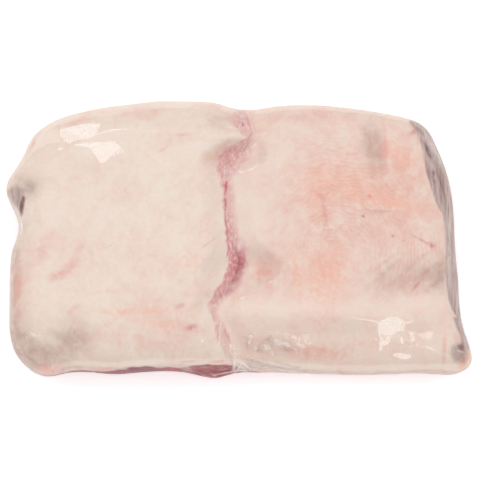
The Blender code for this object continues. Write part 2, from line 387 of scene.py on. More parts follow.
# How fast a mark fades: 1 is a bell curve, and more gives it a flatter middle and a clearer rim
MARK_FALL = 1.15
STAINS_AND_PAINTED_LIGHT = {
    "blush": {
        "pink along the back roll": Mark(-0.083, 0.102, 0.025, 0.0050, 3, 0.35),
        "pink left of the back roll": Mark(-0.135, 0.096, 0.022, 0.0040, 22, 0.25),
        "rim of the left roll": Mark(-0.1759, 0.0752, 0.0103, 0.0017, 66, 0.7),
        "left end": Mark(-0.1850, -0.0522, 0.0239, 0.0050, 90, 0.60),
        "left end above the nick": Mark(-0.190, 0.032, 0.007, 0.0034, 60, 0.4),
        "smear on the left": Mark(-0.143, -0.034, 0.013, 0.0055, 38, 0.65),
        "smear's tail": Mark(-0.152, -0.041, 0.008, 0.0034, 12, 0.55),
        "around the spot front left": Mark(-0.0400, -0.0845, 0.010, 0.0060, 20, 0.35),
        "smear's upper part": Mark(-0.133, -0.018, 0.012, 0.0034, 72, 0.40),
        "left shoulder": Mark(-0.165, -0.020, 0.022, 0.0060, 55, 0.35),
        "small mark front left": Mark(-0.137, -0.068, 0.007, 0.0022, 50, 0.50),
        "beside the nick": Mark(-0.162, 0.042, 0.009, 0.0030, 0, 0.25),
        "thin crease on the left": Mark(-0.0247, -0.0120, 0.0088, 0.0007, 36, 0.7),
        "arch in the oval": Mark(-0.0487, 0.0817, 0.0075, 0.0016, 0, 0.45),
        "oval's left side": Mark(-0.0590, 0.0760, 0.0050, 0.0014, 60, 0.30),
        "oval's right side": Mark(-0.0400, 0.0765, 0.0045, 0.0014, -60, 0.25),
        "streak below the oval": Mark(-0.0630, 0.0690, 0.0050, 0.0010, 30, 0.45),
        "streak on the back roll": Mark(-0.0270, 0.1080, 0.0120, 0.0018, -8, 0.25),
        "front left, broad": Mark(-0.074, -0.095, 0.045, 0.0130, 0, 0.25),
        "cloud on the lower left": Mark(-0.0656, -0.0700, 0.0378, 0.0150, -27, 0.20),
        "cloud beside the groove": Mark(-0.0390, -0.0522, 0.0180, 0.0090, -32, 0.25),
        # Painted shade in pink, under the tongue
        "below the tongue": Mark(-0.0083, 0.0658, 0.0150, 0.0065, 20, 0.75),
        "above the tongue": Mark(0.0035, 0.0920, 0.0090, 0.0060, -60, 0.6),
        "corner nub": Mark(-0.158, -0.120, 0.010, 0.0060, 10, 1.0),
        "above the lean, left": Mark(-0.0428, -0.1133, 0.0076, 0.0010, 3, 0.7),
        "above the lean, right": Mark(-0.0159, -0.1133, 0.0076, 0.0013, 3, 0.8),
        "front strip": Mark(-0.1140, -0.1197, 0.0139, 0.0017, 4, 0.8),
        "right butt, broad": Mark(0.100, 0.020, 0.070, 0.0650, -15, 0.40),
        "right butt, back right": Mark(0.149, 0.038, 0.026, 0.0340, 0, 0.30),
        "right flank of the trough": Mark(0.1256, 0.0658, 0.0222, 0.0019, -88, 0.9),
        "chevron": Mark(0.0734, 0.0145, 0.0150, 0.0026, -80, 0.9),
        # Painted shade in pink, in the dent beside the pocket
        "dent by the pocket": Mark(0.030, -0.038, 0.022, 0.0180, 0, 0.40),
        "chevron's head": Mark(0.0700, 0.0282, 0.0060, 0.0018, -39, 0.8),
        "chevron's arm": Mark(0.0790, 0.0330, 0.0110, 0.0016, 42, 0.6),
        "front band": Mark(0.069, -0.106, 0.022, 0.0065, 0, 0.8),
        "front band's right end": Mark(0.100, -0.100, 0.012, 0.0040, 10, 0.4),
        "back right roll": Mark(0.052, 0.097, 0.034, 0.0051, 0, 0.35),
        "dots in the dent": Mark(0.021, -0.038, 0.008, 0.0040, 20, 0.9),
        "right fat edge": Mark(0.166, 0.046, 0.040, 0.0040, -72, 0.6),
        "beside the heel": Mark(0.1740, -0.1035, 0.0103, 0.0016, 88, 0.8),
        "heel's lobe": Mark(0.1837, -0.0928, 0.0058, 0.0030, -54, 0.5),
        "right of the groove's top": Mark(0.0161, 0.0804, 0.0135, 0.0042, -72, 0.5),
    },
    "peach": {
        "front left, upper streak": Mark(-0.091, -0.070, 0.034, 0.0026, 2, 0.4),
        "front left, lower streak": Mark(-0.108, -0.080, 0.014, 0.0022, 35, 0.4),
        "front left, right streak": Mark(-0.066, -0.080, 0.019, 0.0034, -8, 0.35),
        "peach zone": Mark(0.071, -0.041, 0.023, 0.0240, 0, 0.45),
        "peach zone's middle": Mark(0.080, -0.030, 0.010, 0.0160, -30, 0.35),
        "peach zone, left edge": Mark(0.0490, -0.0385, 0.0225, 0.0030, -81, 0.4),
        "upper peach": Mark(0.067, 0.029, 0.014, 0.0220, 0, 0.4),
        "arcs": Mark(0.092, 0.042, 0.036, 0.0200, -10, 0.4),
        "arc along the crease": Mark(0.120, 0.026, 0.036, 0.0070, -14, 0.7),
        "swelling beside the trough": Mark(0.1382, 0.0628, 0.0150, 0.0090, -47, 0.65),
        "left of the groove": Mark(-0.043, -0.028, 0.010, 0.0068, 0, 0.25),
        "heel's left side": Mark(0.1735, -0.093, 0.006, 0.0016, 80, 0.6),
        "heel's corner": Mark(0.1925, -0.1130, 0.009, 0.0024, 60, 0.9),
    },
    # Mostly painted shade: darker corners, sides, the nick, the trough, dents, wrinkles, puckers and the
    # groove's top; partly the fat's own grey
    "grey_and_shade": {
        "front left corner": Mark(-0.139, -0.095, 0.019, 0.0160, 0, 0.65),
        "bottom left roll": Mark(-0.180, -0.103, 0.040, 0.0180, -58, 0.60),
        "above the corner nub": Mark(-0.160, -0.107, 0.016, 0.0100, -30, 0.5),
        "trough": Mark(0.1182, 0.0650, 0.0235, 0.0072, -85, 0.80),
        "left of the trough": Mark(0.1090, 0.0760, 0.0160, 0.0050, 80, 0.35),
        "dent by the pocket": Mark(0.028, -0.042, 0.016, 0.0140, 0, 0.10),
        "left of the right end's film": Mark(0.1705, -0.0360, 0.0130, 0.0042, 85, 0.55),
        "first wrinkle": Mark(0.1239, -0.0372, 0.0225, 0.0020, 42, 0.40),
        "second wrinkle": Mark(0.1407, -0.0368, 0.0217, 0.0020, 39, 0.40),
        "third wrinkle": Mark(0.1576, -0.0380, 0.0160, 0.0022, 38, 0.50),
        "fourth wrinkle": Mark(0.1260, -0.0265, 0.0136, 0.0016, 39, 0.35),
        "fifth wrinkle": Mark(0.1668, -0.0466, 0.0118, 0.0022, 38, 0.60),
        "behind the heel": Mark(0.147, -0.0410, 0.036, 0.0130, 12, 0.45),
        "left end's side": Mark(-0.1890, -0.0350, 0.0550, 0.0060, 90, 0.45),
        "front left corner's side": Mark(-0.1830, -0.1120, 0.0260, 0.0060, -50, 0.70),
        "behind the heel, outer": Mark(0.170, -0.045, 0.010, 0.0110, 30, 0.5),
        "upper side of the nick": Mark(-0.180, 0.036, 0.011, 0.0090, 30, 0.75),
        "film triangle": Mark(-0.0087, -0.0504, 0.0079, 0.0042, 26, 0.8),
        "top of the groove": Mark(0.003, 0.098, 0.008, 0.0051, 0, 0.5),
        "tongue's back slope": Mark(-0.014, 0.093, 0.014, 0.0070, -5, 0.30),
        "oval on the left butt": Mark(-0.050, 0.077, 0.013, 0.0040, 0, 0.10),
        "upper right corner": Mark(0.158, 0.085, 0.012, 0.0051, -45, 0.6),
        "front wrinkles": Mark(0.027, -0.098, 0.026, 0.0085, -8, 0.5),
        "pucker, first": Mark(0.018, -0.1040, 0.006, 0.0016, -20, 0.6),
        "pucker, second": Mark(0.024, -0.0950, 0.005, 0.0014, 50, 0.5),
        "pucker, third": Mark(0.041, -0.1030, 0.006, 0.0018, -10, 0.6),
        "pucker, fourth": Mark(0.008, -0.0985, 0.004, 0.0014, 80, 0.5),
        "crease's shade": Mark(0.1184, 0.0141, 0.0147, 0.0015, 2, 0.5),
        "heel": Mark(0.1880, -0.102, 0.016, 0.0060, 100, 0.35),
    },
    "blood": {
        "spot front left": Mark(-0.0395, -0.0838, 0.0050, 0.0026, 18, 0.55),
        "spot above it": Mark(-0.048, -0.065, 0.004, 0.0021, 20, 0.5),
        "first dot": Mark(0.106, 0.011, 0.0014, 0.0014, 0, 0.7),
        "second dot": Mark(0.131, -0.006, 0.0013, 0.0013, 0, 0.6),
        "third dot": Mark(0.140, -0.010, 0.0010, 0.0010, 0, 0.5),
        "fourth dot": Mark(0.087, 0.002, 0.0010, 0.0010, 0, 0.4),
        "fifth dot": Mark(0.112, 0.028, 0.0022, 0.0011, -30, 0.4),
        "vein on the right": Mark(0.154, -0.009, 0.010, 0.0011, -28, 0.55),
        "vein's end": Mark(0.1635, -0.0135, 0.0026, 0.0020, -30, 0.75),
        "slit in the groove": Mark(-0.0103, 0.0365, 0.0060, 0.0013, 88, 1.0),
        "slit's tail": Mark(-0.0106, 0.0220, 0.0100, 0.0007, 88, 0.8),
        "crease right of the heel": Mark(0.151, -0.048, 0.006, 0.0013, 45, 0.6),
        "left edge of the groove": Mark(-0.0100, 0.0060, 0.0180, 0.0007, -85, 0.6),
        "groove's top, high": Mark(0.0094, 0.0919, 0.0085, 0.0006, -73, 0.5),
        "groove's top, middle": Mark(0.0098, 0.0795, 0.0048, 0.0006, 64, 0.5),
        "groove's top, dot": Mark(0.0045, 0.0912, 0.0012, 0.0012, 0, 0.7),
        "chevron": Mark(0.0734, 0.0145, 0.0150, 0.0011, -80, 0.25),
        "chevron's head": Mark(0.0700, 0.0282, 0.0060, 0.0009, -39, 0.25),
        "deep pocket": Mark(0.0000, -0.0300, 0.0110, 0.0044, 72, 0.6),
        "pocket's tail": Mark(-0.0085, -0.0520, 0.0095, 0.0042, 38, 0.6),
        "streak low in the groove": Mark(-0.0091, -0.0906, 0.0085, 0.0011, -66, 0.55),
        "corner stain": Mark(0.1508, 0.0847, 0.0061, 0.0022, 34, 0.45),
        "corner stain, outer": Mark(0.1567, 0.0855, 0.0049, 0.0012, -31, 0.60),
        "right butt's crease": Mark(0.1184, 0.0158, 0.0147, 0.0007, -2, 0.35),
    },
    # Partly painted highlights along the crests, the tongue and the ridge right of the groove, and painted
    # light beside the groove where it lies in shade; partly the fat's own pale tone
    "pale_and_highlight": {
        "ridge right of the groove": Mark(0.032, 0.055, 0.016, 0.0085, 80, 0.6),
        "cream right of the groove": Mark(0.016, 0.012, 0.014, 0.0300, 0, 0.5),
        "oval on the left butt": Mark(-0.051, 0.068, 0.023, 0.0127, 0, 0.4),
        "below the nick": Mark(-0.151, 0.015, 0.015, 0.0076, 0, 0.4),
        "left of the groove": Mark(-0.019, -0.028, 0.012, 0.0221, 0, 0.5),
        "tongue": Mark(-0.003, 0.080, 0.014, 0.0022, 0, 0.9),
        "crest near the heel": Mark(0.150, -0.063, 0.030, 0.0060, 3, 0.5),
        "front crest": Mark(0.060, -0.066, 0.070, 0.0060, 0, 0.5),
        "back crest, outer part": Mark(-0.162, 0.0513, 0.034, 0.0028, 41, 0.7),
        "back crest, middle": Mark(-0.1224, 0.0791, 0.016, 0.0026, 21, 0.7),
        "back crest, inner part": Mark(-0.085, 0.0856, 0.024, 0.0026, 2, 0.6),
        "heel's lobe": Patch(
            (
                (0.1795, -0.0863), (0.1786, -0.0949), (0.1828, -0.0992), (0.1870, -0.0966),
                (0.1879, -0.0898), (0.1854, -0.0846),
            ),
            soft=0.0014, strength=0.9,
        ),
    },
    "strip": {
        "fan of the nick": Patch(
            (
                (-0.1985, 0.0333), (-0.1939, 0.0239), (-0.1860, 0.0163), (-0.1843, 0.0214),
                (-0.1834, 0.0282), (-0.1826, 0.0340), (-0.1885, 0.0385),
            ),
            soft=0.0025, strength=0.85,
        ),
        "film strip right of the gather": Patch(
            (
                (0.0060, -0.1103), (0.0203, -0.1129), (0.0355, -0.1154), (0.0523, -0.1188),
                (0.0523, -0.1214), (0.0355, -0.1214), (0.0203, -0.1206), (0.0102, -0.1197),
            ),
            soft=0.0010, strength=0.5,
        ),
        "film at the heel": Patch(
            (
                (0.1828, -0.0675), (0.1862, -0.0761), (0.1887, -0.0829), (0.1913, -0.0906),
                (0.1929, -0.0992), (0.1946, -0.1052), (0.2000, -0.0992), (0.1983, -0.0889),
                (0.1958, -0.0778), (0.1907, -0.0675),
            ),
            soft=0.0010, strength=1.0,
        ),
    },
    "dark": {
        "slit in the nick": Patch(
            (
                (-0.1834, 0.0286), (-0.1855, 0.0222), (-0.1862, 0.0163), (-0.1846, 0.0103),
                (-0.1830, 0.0128), (-0.1818, 0.0188), (-0.1812, 0.0248), (-0.1813, 0.0282),
            ),
            soft=0.0008, strength=0.85,
        ),
        "heel's band": Patch(
            (
                (0.1820, -0.0761), (0.1845, -0.0838), (0.1879, -0.0915), (0.1896, -0.0992),
                (0.1921, -0.0992), (0.1913, -0.0906), (0.1879, -0.0812), (0.1854, -0.0752),
            ),
            soft=0.0014, strength=0.5,
        ),
        "heel's brown side": Patch(
            (
                (0.1803, -0.1000), (0.1786, -0.1060), (0.1828, -0.1137), (0.1921, -0.1163),
                (0.1955, -0.1103), (0.1946, -0.1009), (0.1896, -0.0975),
            ),
            soft=0.0030, strength=0.40,
        ),
        "heel's spot": Patch(
            (
                (0.1854, -0.1000), (0.1862, -0.1035), (0.1904, -0.1043), (0.1913, -0.1009),
                (0.1887, -0.0983),
            ),
            soft=0.0010, strength=0.6,
        ),
        "right end, first spot": Mark(0.1613, 0.0705, 0.0050, 0.0015, -80, 0.85),
        "right end, below the first": Mark(0.1635, 0.0640, 0.0030, 0.0012, -60, 0.6),
        "right end, second spot": Mark(0.1668, 0.0487, 0.0022, 0.0012, -80, 0.65),
        "right end, third spot": Mark(0.1668, 0.0415, 0.0022, 0.0010, -80, 0.6),
        "right end, long line": Mark(0.1719, 0.0428, 0.0130, 0.0009, -76, 0.5),
        "right end, loop": Mark(0.1733, 0.0260, 0.0060, 0.0008, -86, 0.4),
        "front strip": Mark(-0.0849, -0.1214, 0.0152, 0.0020, 0, 0.8),
        "pocket's tail": Mark(-0.0095, -0.0530, 0.0080, 0.0036, 38, 0.13),
    },
    "striae": {
        "arcs": Mark(0.100, 0.030, 0.060, 0.0480, -10, 0.9),
        "wrinkles behind the heel": Mark(0.143, -0.033, 0.036, 0.0200, 35, 1.0),
        "lower left": Mark(0.068, -0.030, 0.028, 0.0300, 0, 0.4),
    },
}

# The soft pink band in the groove, from the front to the back: y, left edge, right edge, how pink, how red
SEAM_BAND = np.array([
    (-0.1120, -0.0066, -0.0016, 0.30, 0.10),
    (-0.1052, -0.0117, -0.0049, 0.50, 0.20),
    (-0.0966, -0.0159, -0.0066, 0.65, 0.40),
    (-0.0863, -0.0184, -0.0091, 0.70, 0.35),
    (-0.0778, -0.0209, -0.0134, 0.70, 0.35),
    (-0.0710, -0.0243, -0.0159, 0.80, 0.40),
    (-0.0598, -0.0235, -0.0117, 0.90, 0.50),
    (-0.0547, -0.0201, -0.0041, 1.00, 0.65),
    (-0.0496, -0.0159, 0.0018, 1.00, 0.60),
    (-0.0436, -0.0117, 0.0043, 1.00, 0.70),
    (-0.0376, -0.0091, 0.0069, 1.00, 1.00),
    (-0.0308, -0.0075, 0.0094, 1.00, 1.00),
    (-0.0239, -0.0083, 0.0102, 1.00, 0.90),
    (-0.0180, -0.0083, 0.0085, 1.00, 0.75),
    (-0.0120, -0.0091, 0.0052, 1.00, 0.60),
    (-0.0034, -0.0100, 0.0018, 1.00, 0.50),
    (0.0077, -0.0108, -0.0007, 1.00, 0.45),
    (0.0205, -0.0117, -0.0024, 1.00, 0.45),
    (0.0291, -0.0125, -0.0033, 1.00, 0.55),
    (0.0376, -0.0134, -0.0033, 0.95, 0.55),
    (0.0445, -0.0150, -0.0033, 0.90, 0.40),
    (0.0530, -0.0175, 0.0018, 0.85, 0.35),
    (0.0607, -0.0170, 0.0069, 0.90, 0.40),
    (0.0675, -0.0130, 0.0119, 0.95, 0.45),
    (0.0735, -0.0041, 0.0153, 0.90, 0.30),
    (0.0787, 0.0077, 0.0144, 0.80, 0.30),
    (0.0838, 0.0018, 0.0136, 0.80, 0.25),
    (0.0906, -0.0058, 0.0127, 0.80, 0.40),
    (0.0975, -0.0041, 0.0127, 0.75, 0.20),
    (0.1043, -0.0016, 0.0085, 0.50, 0.10),
])
SEAM_EDGE_LEFT = 0.0012
SEAM_EDGE_RIGHT = 0.0032
# The red grows from nothing, just past the band's right edge, to its full strength further in
SEAM_RED_EDGE = (-0.002, 0.010)
# How far the band's edges wander from side to side, and over what length
WANDER = 0.0030
WANDER_LENGTH = 0.0035
WANDER_SEED = 11
# Painted shade: the sides are greyer, by how much, where the surface leans outwards and down
SIDE_SHADE = 0.60
SIDE_SHADE_FROM = -0.50
SIDE_SHADE_TO = -0.10

# Where the right butt's fat ends, from the front to the back: y and x
RIGHT_FAT_EDGE = np.array([
    (-0.0761, 0.1854),
    (-0.0693, 0.1811),
    (-0.0607, 0.1778),
    (-0.0393, 0.1761),
    (-0.0009, 0.1761),
    (0.0111, 0.1744),
    (0.0239, 0.1677),
    (0.0376, 0.1635),
    (0.0539, 0.1593),
    (0.0675, 0.1576),
    (0.0770, 0.1559),
    (0.0864, 0.1525),
    (0.0932, 0.1475),
])
RIGHT_FAT_SOFTNESS = 0.0005
RIGHT_FAT_WANDER = 0.15
# Where the thin skin beyond that edge begins, behind the heel, and ends, before the back roll
THIN_FAT_BEGINS = (-0.082, -0.076)
THIN_FAT_ENDS = (0.098, 0.092)

# The height of the fat's lower edge round the sides. Below it the lean shows.
FAT_EDGE = 0.030
FAT_EDGE_SWELLS = {
    "front left": Swell(-0.085, -0.122, 0.045, 0.030, 0, 0.032),
    "lean bulge": Swell(-0.018, -0.125, 0.026, 0.030, 0, 0.034),
    "front right, down": Swell(0.090, -0.125, 0.080, 0.030, 0, -0.008),
    "right end": Swell(0.200, 0.020, 0.028, 0.072, 0, 0.010),
    "left end": Swell(-0.200, -0.020, 0.020, 0.050, 0, 0.004),
}
FAT_EDGE_SOFTNESS = 0.0025
FAT_EDGE_RAGGED = 0.008
FAT_EDGE_RAGGED_LENGTH = 0.010
FAT_EDGE_SEED = 7


def depth_inside(polygons, x, y):
    """The distance to the nearest polygon's outline, positive inside it and negative outside."""
    deepest = np.full_like(x, -np.inf)
    for polygon in polygons:
        corners = np.array(polygon)
        nearest = np.full_like(x, np.inf)
        inside = np.zeros(x.shape, bool)
        for (x0, y0), (x1, y1) in zip(corners, np.roll(corners, -1, axis=0)):
            run, climb = x1 - x0, (y1 - y0) or 1e-9
            share = np.clip(((x - x0) * run + (y - y0) * climb) / (run**2 + climb**2), 0, 1)
            nearest = np.minimum(nearest, np.hypot(x - x0 - share * run, y - y0 - share * climb))
            inside ^= ((y0 > y) != (y1 > y)) & (x < x0 + (y - y0) * run / climb)
        deepest = np.maximum(deepest, np.where(inside, nearest, -nearest))
    return deepest


def covered(mark, x, y):
    """How far a mark (a bell over a turned oval) or a patch (its outline's inside) covers each point."""
    if isinstance(mark, Patch):
        return smooth(depth_inside([mark.corners], x, y), -mark.soft, mark.soft)
    turn = np.radians(mark.turn)
    along = (x - mark.x) * np.cos(turn) + (y - mark.y) * np.sin(turn)
    across = (y - mark.y) * np.cos(turn) - (x - mark.x) * np.sin(turn)
    away = (along / mark.along) ** 2 + (across / mark.across) ** 2
    return np.exp(-(away**MARK_FALL))


def stained(marks, x, y):
    """How strongly a family of marks and patches stains each point: they cover one another."""
    clean = np.ones_like(x)
    for mark in marks.values():
        clean *= 1 - mark.strength * covered(mark, x, y)
    return 1 - clean


def butt(name, a_steps):
    """One butt: its half of the block, set in from the film, lumpy, with a value for every stain and every
    mark of painted shade or highlight.
    """
    rings = steps(-1, 1, BUTT_RINGS, RING_CROWDS)
    cube, faces = block(a_steps, steps(-1, 1, BUTT_ROWS), rings, UNDER_RINGS)
    points = pack_surface(cube, CREASE_DEPTH) - pack_middle
    piece = skin(name, points, faces)
    normals = normals_of(piece)
    x, y, z = points.T
    lumps = sum(
        height * (lattice_noise(x + z, y + z, cell, LUMP_SEED) - 0.5) for cell, height in LUMPS
    )
    # At the wall between them the butts keep touching: only the wall's own edges move in
    inward = normals * (lumps - FILM_CLEARANCE)[:, None]
    settled = -FILM_CLEARANCE * (cube**5 * (0, 1, 1))
    free = smooth(np.abs(cube[:, :1]), 0, WALL_REACH)
    points += free * inward + (1 - free) * settled
    set_points(piece, points)
    piece.data.set_sharp_from_angle(angle=np.radians(SHARP_EDGE))

    x, y, z = points.T
    plan_y = seen_y(y, z)
    # Each family's values: stains, with painted shade in the grey family and painted highlights in the
    # pale family
    stains = {family: stained(marks, x, plan_y) for family, marks in STAINS_AND_PAINTED_LIGHT.items()}
    # Painted shade: the sides are greyer where they turn down
    sides = smooth(-normals[:, 2], SIDE_SHADE_FROM, SIDE_SHADE_TO)
    stains["grey_and_shade"] = np.maximum(stains["grey_and_shade"], SIDE_SHADE * sides)

    # The groove's pink band: a clear edge that wanders on the left, a soft one on the right
    wander = WANDER * (lattice_noise(x, plan_y, WANDER_LENGTH, WANDER_SEED) - 0.5)
    band_y, *columns = SEAM_BAND.T
    left, right, pink, red = (np.interp(plan_y, band_y, column) for column in columns)
    upward = smooth(normals[:, 2], -0.3, 0.2)
    band = smooth(x + wander - left, -SEAM_EDGE_LEFT, SEAM_EDGE_LEFT)
    band *= smooth(right - x + wander, -SEAM_EDGE_RIGHT, SEAM_EDGE_RIGHT)
    paint(piece, "seam", band * pink * upward)
    paint(piece, "seam_red", band * red * upward * smooth(right - x, *SEAM_RED_EDGE))

    # Beyond the fat's edge the right end is lean under a thin skin of fat
    edge_y, edge_x = RIGHT_FAT_EDGE.T
    edge = np.interp(plan_y, edge_y, edge_x) + RIGHT_FAT_WANDER * wander
    beyond = smooth(x - edge, -RIGHT_FAT_SOFTNESS, RIGHT_FAT_SOFTNESS)
    beyond *= smooth(plan_y, *THIN_FAT_BEGINS)
    beyond *= smooth(plan_y, *THIN_FAT_ENDS)
    stains["strip"] = np.maximum(stains["strip"], beyond)
    for family, values in stains.items():
        paint(piece, family, values)

    edge = FAT_EDGE + sum(swelling(swell, x, y) for swell in FAT_EDGE_SWELLS.values())
    ragged = lattice_noise(x + y, z * 2 + x, FAT_EDGE_RAGGED_LENGTH, FAT_EDGE_SEED)
    ragged = FAT_EDGE_RAGGED * (ragged - 0.5)
    paint(piece, "lean", smooth(edge + ragged - z, -FAT_EDGE_SOFTNESS, FAT_EDGE_SOFTNESS))
    return piece


def tone(red, green, blue):
    """A colour as seen on a screen, from 0 to 255, as linear light with full alpha."""
    seen = np.array([red, green, blue]) / 255
    light = np.where(seen <= 0.04045, seen / 12.92, ((seen + 0.055) / 1.055) ** 2.4)
    return (*light, 1.0)


def node(tree, kind, inputs=(), **settings):
    """Adds a node, with its settings, and sets each input to a value or links it to a socket."""
    made = tree.nodes.new(kind)
    for name, value in settings.items():
        setattr(made, name, value)
    for name, value in dict(inputs).items():
        if isinstance(value, bpy.types.NodeSocket):
            tree.links.new(value, made.inputs[name])
        else:
            made.inputs[name].default_value = value
    return made


def math(tree, operation, *values, clamp=False):
    """A Math node's result."""
    return node(tree, "ShaderNodeMath", enumerate(values), operation=operation, use_clamp=clamp).outputs[0]


def vector_math(tree, operation, *values, result="Vector"):
    """A Vector Math node's result."""
    return node(tree, "ShaderNodeVectorMath", enumerate(values), operation=operation).outputs[result]


def mixed(tree, share, first, second):
    """A colour between two colours."""
    inputs = {"Factor": share, 6: first, 7: second}
    return node(tree, "ShaderNodeMix", inputs, data_type="RGBA").outputs[2]


def noise(tree, place, scale, detail=4.0, roughness=0.55, distortion=0.0):
    """A Noise Texture's value."""
    inputs = {"Vector": place, "Scale": scale, "Detail": detail, "Roughness": roughness}
    inputs["Distortion"] = distortion
    return node(tree, "ShaderNodeTexNoise", inputs).outputs["Fac"]


def stretched(tree, value, low, high, top=1.0):
    """A value stretched so that low becomes 0 and high becomes top, and clamped."""
    inputs = {"Value": value, "From Min": low, "From Max": high, "To Max": top}
    return node(tree, "ShaderNodeMapRange", inputs).outputs["Result"]


def scaled(tree, place, *scale):
    """Coordinates stretched by a factor along each axis."""
    return node(tree, "ShaderNodeMapping", {"Vector": place, "Scale": scale}).outputs[0]


def uneven_stain_group():
    """Makes a painted stain uneven: its value times one plus grain, so that it thins out in places."""
    tree = bpy.data.node_groups.new("uneven stain", "ShaderNodeTree")
    for name in ("Stain", "Grain", "Raggedness"):
        tree.interface.new_socket(name, in_out="INPUT", socket_type="NodeSocketFloat")
    tree.interface.new_socket("Stain", in_out="OUTPUT", socket_type="NodeSocketFloat")
    given = node(tree, "NodeGroupInput").outputs
    swing = math(tree, "MULTIPLY_ADD", given["Grain"], 6.0, -3.0)
    factor = math(tree, "MULTIPLY_ADD", swing, given["Raggedness"], 1.0)
    factor = math(tree, "MAXIMUM", factor, 0.0)
    result = math(tree, "MULTIPLY", given["Stain"], factor, clamp=True)
    node(tree, "NodeGroupOutput", {"Stain": result})
    return tree


uneven_stain = uneven_stain_group()

LEFT_FAT = tone(235, 220, 207)
LEFT_FAT_WARM = tone(234, 210, 197)
RIGHT_FAT = tone(233, 215, 202)
RIGHT_FAT_WARM = tone(235, 206, 193)
WARM_CLOUD = tone(228, 194, 178)
PALE_FLECK = tone(242, 232, 222)
ROSY_FLECK = tone(226, 192, 178)
PALE_FAT_AND_HIGHLIGHT = tone(237, 221, 210)
GREY_FAT_AND_SHADE = tone(190, 161, 150)
PINK_FAT = tone(227, 176, 164)
PEACH_FAT = tone(240, 181, 160)
RIDGE_PINK = tone(222, 170, 154)
VEIN_PINK = tone(214, 146, 136)
GROOVE_PINK = tone(226, 190, 184)
GROOVE_FLECK = tone(240, 222, 215)
GROOVE_RED = tone(208, 138, 142)
BLOOD_RED = tone(198, 96, 102)
THIN_FAT_DARK = tone(152, 122, 118)
THIN_FAT_PALE = tone(202, 183, 179)
LEAN_DARK = tone(90, 4, 22)
LEAN_RED = tone(176, 42, 61)
LEAN_SEAM = tone(216, 154, 150)
DEEP_MAROON = tone(104, 44, 62)
# The place on the right butt that the fat side's ridges run round, and how far they are bent
WHORL = (0.0944, -0.0094, 0.0)
RIDGE_BEND = (0.020, 0.020, 0.0)


